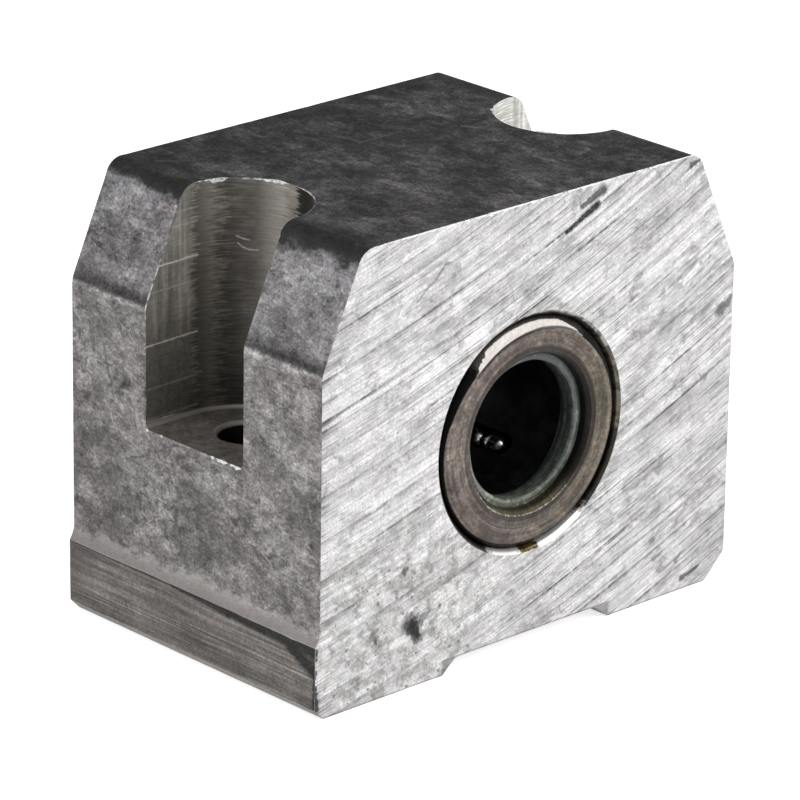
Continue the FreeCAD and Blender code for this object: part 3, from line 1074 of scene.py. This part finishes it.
def cage_plastic(point):
    """Black moulded plastic under dark grease."""
    film = stained(point, size=1.2, low=0.4, high=0.66)
    return {
        "Base Color": blend(film, tone(6, 6, 7), tone(12, 12, 13)),
        "Roughness": step(film, 0.0, 1.0, 0.3, 0.5),
        "Specular IOR Level": 0.4,
        "Normal": relief(film, 0.02, 0.4),
    }


def ball_steel(point):
    """Polished balls with dark grease on part of each."""
    grease = stained(point, size=1.0, low=0.38, high=0.58)
    return {
        "Base Color": blend(grease, tone(230, 230, 228), tone(60, 60, 60)),
        "Metallic": 1.0,
        "Roughness": step(grease, 0.0, 1.0, 0.08, 0.3),
    }


# Meshes

def placed(name, mesh, slot, *nodes):
    """Puts a mesh in millimetres into the frame as a piece that stands for those CAD nodes."""
    mesh.transform(Matrix.Scale(MM, 4))
    piece = bpy.data.objects.new(name, mesh)
    bpy.context.scene.collection.objects.link(piece)
    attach(piece, "root")
    if nodes:
        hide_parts(*nodes)
    return piece


# Points nearer than this are one, and faces flatter than the angle are one flat
WELD = 1e-4
FLAT_ANGLE = math.radians(0.5)


def cad_copy(node):
    """A CAD node's solid in millimetres, welded."""
    shape = bmesh.new()
    shape.from_mesh(frame["nodes"][node].data)
    bmesh.ops.scale(shape, vec=(1 / MM,) * 3, verts=shape.verts)
    bmesh.ops.remove_doubles(shape, verts=shape.verts, dist=WELD)
    return shape


def whole_flats(shape, cuts):
    """Joins the triangles of each flat, apart from the lines where a (point, normal) plane cuts it."""
    for point, normal in cuts:
        geometry = [*shape.verts, *shape.edges, *shape.faces]
        cut = bmesh.ops.bisect_plane(shape, geom=geometry, dist=WELD, plane_co=point, plane_no=normal)
        for part in cut["geom_cut"]:
            if isinstance(part, bmesh.types.BMEdge):
                part.seam = True
    bmesh.ops.dissolve_limit(shape, angle_limit=FLAT_ANGLE, verts=shape.verts, edges=shape.edges,
                             delimit={"SEAM"})


# An edge sharper than the angle is broken, in lengths of about the step and up to the width
EDGE_ANGLE = math.radians(25)
EDGE_STEP = 0.45
EDGE_WIDTH = 0.2

# Least share of the width that is worn off and its variation, at the burred rims and elsewhere; the most
# that a nick adds; the most of the narrower face beside it that an edge may take
RIM_WEAR = (0.2, 0.2)
EDGE_WEAR = (0.12, 0.15)
NICK_WEAR = 0.6
FACE_SHARE = 0.3

# Edges up to these angles are shaded smooth
BLOCK_SMOOTH = math.radians(50)
TURNED_SMOOTH = math.radians(40)

# Reach of a bolt hole and its chamfer from the hole's axis
HOLE_REACH = 3.0


def sharp_edges(shape):
    return [e for e in shape.edges if len(e.link_faces) == 2 and e.calc_face_angle() > EDGE_ANGLE]


def by_hole(point):
    return math.hypot(abs(point.x) - BOLT_X, point.y) < HOLE_REACH


def stays_sharp(point):
    """True at the edges that the tools left clean: the bore's mouth, the bolt holes and the slot floors."""
    at_bore = math.hypot(point.x, point.z - SHAFT_Z) < CUP_RADIUS + BORE_MOUTH + 0.2
    at_floor = abs(point.y) < SLOT_HALF + 0.1 and SLOT_FLOOR - 0.2 < point.z < SLOT_FLOOR + 0.5
    return at_bore or by_hole(point) or at_floor


def at_rim(point):
    """True along the slots' rims and the top edge of the front end, which are burred and carry a painted
    highlight.
    """
    along_slot = abs(point.x) > SLOT_END_X - 0.3 and abs(point.y) < SLOT_HALF + 0.2
    front_top = point.y < 0.3 - HALF_LENGTH and point.z > HEIGHT - 0.3
    return along_slot and point.z > WALL_BREAK - 1.0 or front_top


def nicked_edges(shape):
    """Divides the sharp edges and weighs each length, so that they break unevenly."""
    counts = {}
    for edge in sharp_edges(shape):
        counts.setdefault(int(edge.calc_length() / EDGE_STEP), []).append(edge)
    for cuts, edges in counts.items():
        if cuts > 0:
            bmesh.ops.bisect_edges(shape, edges=edges, cuts=cuts)
    weight = shape.edges.layers.float.new("bevel_weight_edge")
    for edge in sharp_edges(shape):
        middle = (edge.verts[0].co + edge.verts[1].co) / 2
        length = edge.calc_length()
        if length < EDGE_STEP / 2 or stays_sharp(middle):
            continue
        wave = 0.5 + 0.5 * noise.noise(middle * 0.5)
        nick = max(0.0, noise.noise(middle * 0.9 + Vector((9, 4, 2)))) ** 2
        room = min(face.calc_area() / length for face in edge.link_faces) / EDGE_WIDTH
        least, more = RIM_WEAR if at_rim(middle) else EDGE_WEAR
        worn = least + more * wave
        in_slot_end = abs(middle.y) < SLOT_HALF + 0.2
        if in_slot_end:
            worn *= min(1.0, max(0.15, (middle.z - SLOT_FLOOR) / 2.5))
        edge[weight] = min(worn + NICK_WEAR * nick, 1.0, FACE_SHARE * room)


def block_finish(face, was_edge):
    """The finish of one face of the block, from where it lies."""
    centre, normal = face.calc_center_median(), face.normal
    from_shaft = math.hypot(centre.x, centre.z - SHAFT_Z)
    across_slot = SLOT_END_X - 0.1 < abs(centre.x) <= WALL_X - 0.05
    in_slot = across_slot and abs(centre.y) < SLOT_HALF + 0.15 and centre.z > SLOT_FLOOR - 0.2
    if abs(normal.y) > 0.8 and abs(centre.y) > HALF_LENGTH - 0.2:
        return "sawn_end"
    if from_shaft < CUP_RADIUS + BORE_MOUTH + 0.12:
        return "bore_mouth"
    if was_edge:
        return "bright_edge" if at_rim(centre) else "extruded_skin"
    if by_hole(centre) and centre.z < SLOT_FLOOR + 0.1 and abs(normal.z) < 0.9:
        return "milled_slot"
    if in_slot and (abs(normal.z) < 0.3 or centre.z < SLOT_FLOOR + 0.5):
        return "milled_slot"
    on_foot = normal.z < -0.9 and centre.z < 0.1
    if on_foot or (centre.x < 0.85 - HALF_WIDTH and centre.z < BAND_TOP):
        return "machined_band"
    return "extruded_skin"


def softened(shape, angle):
    """Smooth shading, apart from the edges sharper than an angle."""
    for face in shape.faces:
        face.smooth = True
    for edge in shape.edges:
        edge.smooth = len(edge.link_faces) < 2 or edge.calc_face_angle() < angle


def sawn_block():
    """The block, as the CAD solid has it, with its edges broken and a finish on each face."""
    shape = cad_copy("housing")
    whole_flats(shape, [((0, 0, 0), (1, 0, 0)), ((0, 0, SHAFT_Z + 0.5), (0, 0, 1))])
    nicked_edges(shape)
    drawn_by = (sawn_end, bright_edge, extruded_skin, machined_band, milled_slot, bore_mouth)
    finishes = [finish(draw) for draw in drawn_by]
    rough = bpy.data.meshes.new("block_rough")
    shape.to_mesh(rough)
    shape.free()
    for material in finishes:
        rough.materials.append(material)
    holder = bpy.data.objects.new("block_rough", rough)
    bpy.context.scene.collection.objects.link(holder)
    broken = holder.modifiers.new("broken_edges", "BEVEL")
    broken.limit_method = "WEIGHT"
    broken.width = EDGE_WIDTH
    broken.segments = 2
    broken.use_clamp_overlap = False
    broken.material = 1
    mesh = bpy.data.meshes.new_from_object(holder.evaluated_get(bpy.context.evaluated_depsgraph_get()))
    bpy.data.objects.remove(holder)
    bpy.data.meshes.remove(rough)
    index = {material.name: i for i, material in enumerate(finishes)}
    shape = bmesh.new()
    shape.from_mesh(mesh)
    for face in shape.faces:
        face.material_index = index[block_finish(face, face.material_index == 1)]
    softened(shape, BLOCK_SMOOTH)
    shape.to_mesh(mesh)
    shape.free()
    piece = placed("sawn_block", mesh, "housing_aluminium", "housing")
    flats = piece.modifiers.new("flat_faces", "WEIGHTED_NORMAL")
    flats.keep_sharp = True
    return piece


# Torn slivers: (side, from y, to y) on the slot floors' outer edges, (side, from, to) in degrees on the
# slots' top rims, and (from x, to x, size) along the front end's top edge
FLOOR_BURRS = [(-1, -4.9, -3.75), (-1, -3.5, -2.35), (-1, -2.1, -1.75), (-1, 3.3, 3.5), (-1, 4.8, 5.05),
               (1, 1.2, 2.6), (1, 3.1, 4.6)]
RIM_BURRS = [(-1, 10, 30), (-1, 58, 75), (1, -40, -22), (1, 35, 62)]
FRONT_BURRS = [(-14.2, -6.0, 0.5), (-6.4, 1.2, 0.5), (0.8, 8.6, 0.5), (8.2, 15.6, 0.5), (-4.6, -4.0, 1.1),
               (-0.5, 0.0, 1.1)]

# Mean and variation of a sliver's width on its first and second face, and of how far it stands up
BURR_FIRST = (0.14, 0.16)
BURR_SECOND = (0.2, 0.24)
BURR_RISE = (0.05, 0.05)
# How far it lies off its faces and how far it reaches into the block
BURR_SKIN = 0.012
BURR_ROOT = 0.1
# Steps along the slivers of each kind
FLOOR_STEP = 0.1
FRONT_STEP = 0.15
RIM_STEP_DEG = 1.2
UP = Vector((0, 0, 1))


def burr_edge(path, number, size):
    """Sections of one torn edge: each step has the corner and, for both faces, the normal and the way in."""
    sections = []
    for i, (corner, normal_a, in_a, normal_b, in_b) in enumerate(path):
        place = corner * 2.3 + Vector((number, 0, 0))
        grown = size * max(0.0, math.sin(math.pi * i / (len(path) - 1))) ** 0.5
        wide_a = grown * (BURR_FIRST[0] + BURR_FIRST[1] * noise.noise(place))
        wide_b = grown * (BURR_SECOND[0] + BURR_SECOND[1] * noise.noise(place + Vector((0, 7, 0))))
        raised = grown * (BURR_RISE[0] + BURR_RISE[1] * noise.noise(place * 2.0))
        sections.append([
            corner + in_a * max(wide_a, 0.02) + normal_a * BURR_SKIN,
            corner + (normal_a + normal_b) * max(raised, 0.004),
            corner + in_b * max(wide_b, 0.02) + normal_b * BURR_SKIN,
            corner + (in_a + in_b) * BURR_ROOT,
        ])
    return sections


def spread(start, end, pitch):
    """Values from start to end about a pitch apart."""
    steps = max(4, round(abs(end - start) / pitch))
    return [start + (end - start) * i / steps for i in range(steps + 1)]


def floor_path(side, start, end):
    """Steps along the outer edge of a slot's floor, on the side -1 or 1, from one y to another."""
    wall = side * (WALL_X if side < 0 else HALF_WIDTH)
    out = Vector((side, 0, 0))
    return [(Vector((wall, y, SLOT_FLOOR)), UP, -out, out, -UP) for y in spread(start, end, FLOOR_STEP)]


def front_path(start, end):
    """Steps along the top edge of the front end, from one x to another."""
    out = Vector((0, -1, 0))
    return [(Vector((x, -HALF_LENGTH, HEIGHT)), UP, -out, out, -UP) for x in spread(start, end, FRONT_STEP)]


def rim_path(side, start_deg, end_deg):
    """Steps along the round top rim of a slot, from one angle to another about the arc's centre."""
    steps = []
    for turn_deg in spread(start_deg, end_deg, RIM_STEP_DEG):
        turn = math.radians(turn_deg)
        out = Vector((-side * math.cos(turn), math.sin(turn), 0))
        steps.append((Vector((side * SLOT_ARC_X, 0, HEIGHT)) + out * SLOT_HALF, UP, out, -out, -UP))
    return steps


def outward_mesh(name, points, faces, material, smooth=None):
    """A mesh whose faces point outwards, shaded smooth up to an angle if one is given."""
    mesh = bpy.data.meshes.new(name)
    mesh.from_pydata(points, [], faces)
    mesh.materials.append(material)
    shape = bmesh.new()
    shape.from_mesh(mesh)
    bmesh.ops.recalc_face_normals(shape, faces=shape.faces)
    if smooth:
        softened(shape, smooth)
    shape.to_mesh(mesh)
    shape.free()
    return mesh


def torn_edges():
    """Torn slivers along the slots' edges and the front end's top edge."""
    burrs = [(floor_path(*burr), 1.0) for burr in FLOOR_BURRS]
    burrs += [(rim_path(*burr), 1.0) for burr in RIM_BURRS]
    burrs += [(front_path(start, end), size) for start, end, size in FRONT_BURRS]
    points, faces = [], []
    for number, (path, size) in enumerate(burrs):
        for i, section in enumerate(burr_edge(path, number, size)):
            first = len(points)
            points += section
            if i == 0:
                faces.append((first, first + 1, first + 2, first + 3))
                continue
            for j in range(4):
                k = (j + 1) % 4
                faces.append((first + j, first + k, first + k - 4, first + j - 4))
        last = len(points) - 4
        faces.append((last + 3, last + 2, last + 1, last))
    mesh = outward_mesh("torn_edges", points, faces, finish(torn_metal))
    return placed("torn_edges", mesh, "housing_aluminium")


# Steps of one turn in the turned pieces
TURNED_STEPS = 192


def lathed(name, columns, material):
    """A closed ring from one list of (radius, y) points for each step round the shaft axis."""
    steps, count = len(columns), len(columns[0])
    points, faces = [], []
    for i, column in enumerate(columns):
        turn = 2 * math.pi * i / steps
        points += [(r * math.cos(turn), y, SHAFT_Z + r * math.sin(turn)) for r, y in column]
    for i in range(steps):
        here, there = i * count, (i + 1) % steps * count
        for j in range(count):
            k = (j + 1) % count
            faces.append((here + j, here + k, there + k, there + j))
    return outward_mesh(name, points, faces, material, TURNED_SMOOTH)


def rounded(radius, y, size, start_deg, steps=6):
    """Points on a quarter turn about (radius, y), from an angle measured from +radius towards +y."""
    turns = [math.radians(start_deg + 90 * i / steps) for i in range(steps + 1)]
    return [(radius + size * math.cos(turn), y + size * math.sin(turn)) for turn in turns]


def cup_section(turn_deg):
    """The cup's section at one angle: rolled corner, lip, inner wall and its land."""
    inner = CUP_RADIUS - CUP_WALL
    on_land = any(abs((turn_deg - row + 180) % 360 - 180) <= LAND_HALF_DEG for row in LAND_ROWS_DEG)
    land = inner - LAND_RISE if on_land else inner
    end = rounded(CUP_RADIUS - CUP_CORNER, HALF_LENGTH - CUP_CORNER, CUP_CORNER, 0, 10)
    end += [(CUP_RADIUS - CUP_CORNER - share * LIP_STEP, HALF_LENGTH) for share in (1, 2)]
    end += rounded(LIP_RADIUS + LIP_EDGE, HALF_LENGTH - LIP_EDGE, LIP_EDGE, 90, 6)
    end += [(LIP_RADIUS, LIP_BACK), (inner, LIP_BACK), (inner, LAND_END), (land, LAND_END - LAND_SLOPE)]
    return end + [(r, -y) for r, y in reversed(end)]


def steel_cup():
    """The drawn cup with its rolled lips, turned finely."""
    columns = [cup_section(360 * i / TURNED_STEPS) for i in range(TURNED_STEPS)]
    mesh = lathed("steel_cup", columns, finish(cup_steel))
    return placed("steel_cup", mesh, "sleeve_steel", "bearing_sleeve")


def wiper_seal(name, node, end, material):
    """One seal ring with soft edges and an uneven wiping edge."""
    columns = []
    for i in range(TURNED_STEPS):
        turn = 2 * math.pi * i / TURNED_STEPS
        wave = SEAL_WAVE * noise.noise(Vector((3 * math.cos(turn), 3 * math.sin(turn), end)))
        section = [(SEAL_RADIUS, SEAL_BACK), (SEAL_RADIUS, LIP_BACK - SEAL_GAP)]
        section += rounded(SHAFT_RADIUS + SEAL_EDGE + wave, LIP_BACK - SEAL_GAP - SEAL_EDGE, SEAL_EDGE, 90)
        section += rounded(SHAFT_RADIUS + SEAL_BACK_EDGE, SEAL_BACK + SEAL_BACK_EDGE, SEAL_BACK_EDGE, 180)
        columns.append([(r, end * y) for r, y in section])
    mesh = lathed(name, columns, material)
    return placed(name, mesh, "seal_rubber", node)


def islands(shape):
    """The separate solids of a mesh, as lists of points."""
    left = set(shape.verts)
    while left:
        todo = [left.pop()]
        found = []
        while todo:
            vert = todo.pop()
            found.append(vert.co.copy())
            beside = [edge.other_vert(vert) for edge in vert.link_edges]
            todo += [other for other in beside if other in left]
            left.difference_update(beside)
        yield found


def ball_row(number, material):
    """The round balls of one track, each where the CAD solid has it."""
    node = f"ball_circuit_{number}"
    source = cad_copy(node)
    balls = bmesh.new()
    for points in islands(source):
        centre = sum(points, Vector()) / len(points)
        radius = max((point - centre).length for point in points)
        place = Matrix.Translation(centre)
        bmesh.ops.create_uvsphere(balls, u_segments=24, v_segments=16, radius=radius, matrix=place)
    source.free()
    for face in balls.faces:
        face.smooth = True
    mesh = bpy.data.meshes.new(f"balls_{number}")
    balls.to_mesh(mesh)
    balls.free()
    mesh.materials.append(material)
    return placed(f"balls_{number}", mesh, "ball_steel", node)


# Studio

# The floor's width in metres, its colour and the glow that keeps it white; where the key light stands
FLOOR_SIZE = 6.0
FLOOR_GREY = (0.86, 0.86, 0.86, 1)
FLOOR_GLOW = 0.72
KEY_AZIMUTH = 20


def studio_floor():
    """A wide pale floor that reads white around the block and keeps its shadow."""
    bpy.ops.mesh.primitive_plane_add(size=FLOOR_SIZE)
    floor = bpy.context.object
    floor.name = "floor"
    material = new_material("floor")
    nodes = material.node_tree.nodes
    feed(nodes["Principled BSDF"].inputs, {"Base Color": FLOOR_GREY, "Roughness": 0.9})
    path = add_node("LightPath").outputs
    seen = maths("ADD", path["Is Camera Ray"], path["Is Glossy Ray"], clamp=True)
    seen = maths("ADD", seen, path["Is Transmission Ray"], clamp=True)
    glow = add_node("Emission", {"Color": (1, 1, 1, 1), "Strength": maths("MULTIPLY", seen, FLOOR_GLOW)})
    lit = add_node("AddShader", {0: nodes["Principled BSDF"].outputs[0], 1: glow.outputs[0]})
    link(lit.outputs[0], nodes["Material Output"].inputs["Surface"])
    floor.data.materials.append(material)


def studio_sky():
    """A pale wall of light at the horizon, greyer overhead."""
    world = bpy.data.worlds.new("studio")
    bpy.context.scene.world = world
    world.use_nodes = True
    Drawing.tree = world.node_tree
    ahead = add_node("TexCoord").outputs["Generated"]
    shade = graded(split(ahead)[2], (0.0, 0.8), (0.3, 0.55), (0.8, 0.4))
    front = step(vector_maths("DOT_PRODUCT", ahead, facing(KEY_AZIMUTH, 0)), -0.6, 0.5, 0.55, 1.0)
    link(blend(1.0, shade, front, "MULTIPLY"), world.node_tree.nodes["Background"].inputs["Color"])


def softbox(name, aim, azimuth, elevation, distance, size, power):
    """A square lamp at an azimuth and elevation about a point, in millimetres, facing it."""
    lamp = bpy.data.lights.new(name, "AREA")
    lamp.energy = power
    lamp.size = size * MM
    holder = bpy.data.objects.new(name, lamp)
    back = facing(azimuth, elevation)
    holder.location = (Vector(aim) + back * distance) * MM
    holder.rotation_euler = back.to_track_quat("Z", "Y").to_euler()
    holder.visible_camera = False
    bpy.context.scene.collection.objects.link(holder)


def facing(azimuth, elevation):
    """The direction from the block towards a viewer at that azimuth and elevation."""
    a, e = math.radians(azimuth), math.radians(elevation)
    return Vector((math.sin(a) * math.cos(e), -math.cos(a) * math.cos(e), math.sin(e)))


def photo_camera():
    """The camera where the photograph was taken from."""
    lens = bpy.data.cameras.new("camera")
    lens.lens = CAMERA_LENS
    lens.sensor_width = SENSOR_WIDTH
    lens.clip_start = 0.01
    camera = bpy.data.objects.new("camera", lens)
    turn = facing(CAMERA_AZIMUTH, CAMERA_ELEVATION).to_track_quat("Z", "Y").to_matrix()
    turn = turn @ Matrix.Rotation(math.radians(CAMERA_ROLL), 3, "Z")
    camera.matrix_world = Matrix.Translation(Vector(CAMERA_PLACE) * MM) @ turn.to_4x4()
    bpy.context.scene.collection.objects.link(camera)
    bpy.context.scene.camera = camera


def main():
    sawn_block()
    torn_edges()
    steel_cup()
    rubber = finish(seal_rubber)
    wiper_seal("front_wiper", "front_seal", -1, rubber)
    wiper_seal("rear_wiper", "rear_seal", 1, rubber)
    polished = finish(ball_steel)
    for number in range(1, 5):
        ball_row(number, polished)
    cage = frame["nodes"]["ball_cage"]
    cage.data.materials.clear()
    cage.data.materials.append(finish(cage_plastic))
    studio_floor()
    studio_sky()
    middle = (0, 0, HEIGHT / 2)
    softbox("key", middle, azimuth=KEY_AZIMUTH, elevation=38, distance=420, size=300, power=1.0)
    softbox("fill", middle, azimuth=-100, elevation=42, distance=420, size=260, power=0.5)
    photo_camera()
    bpy.context.scene.view_settings.view_transform = "Standard"


main()
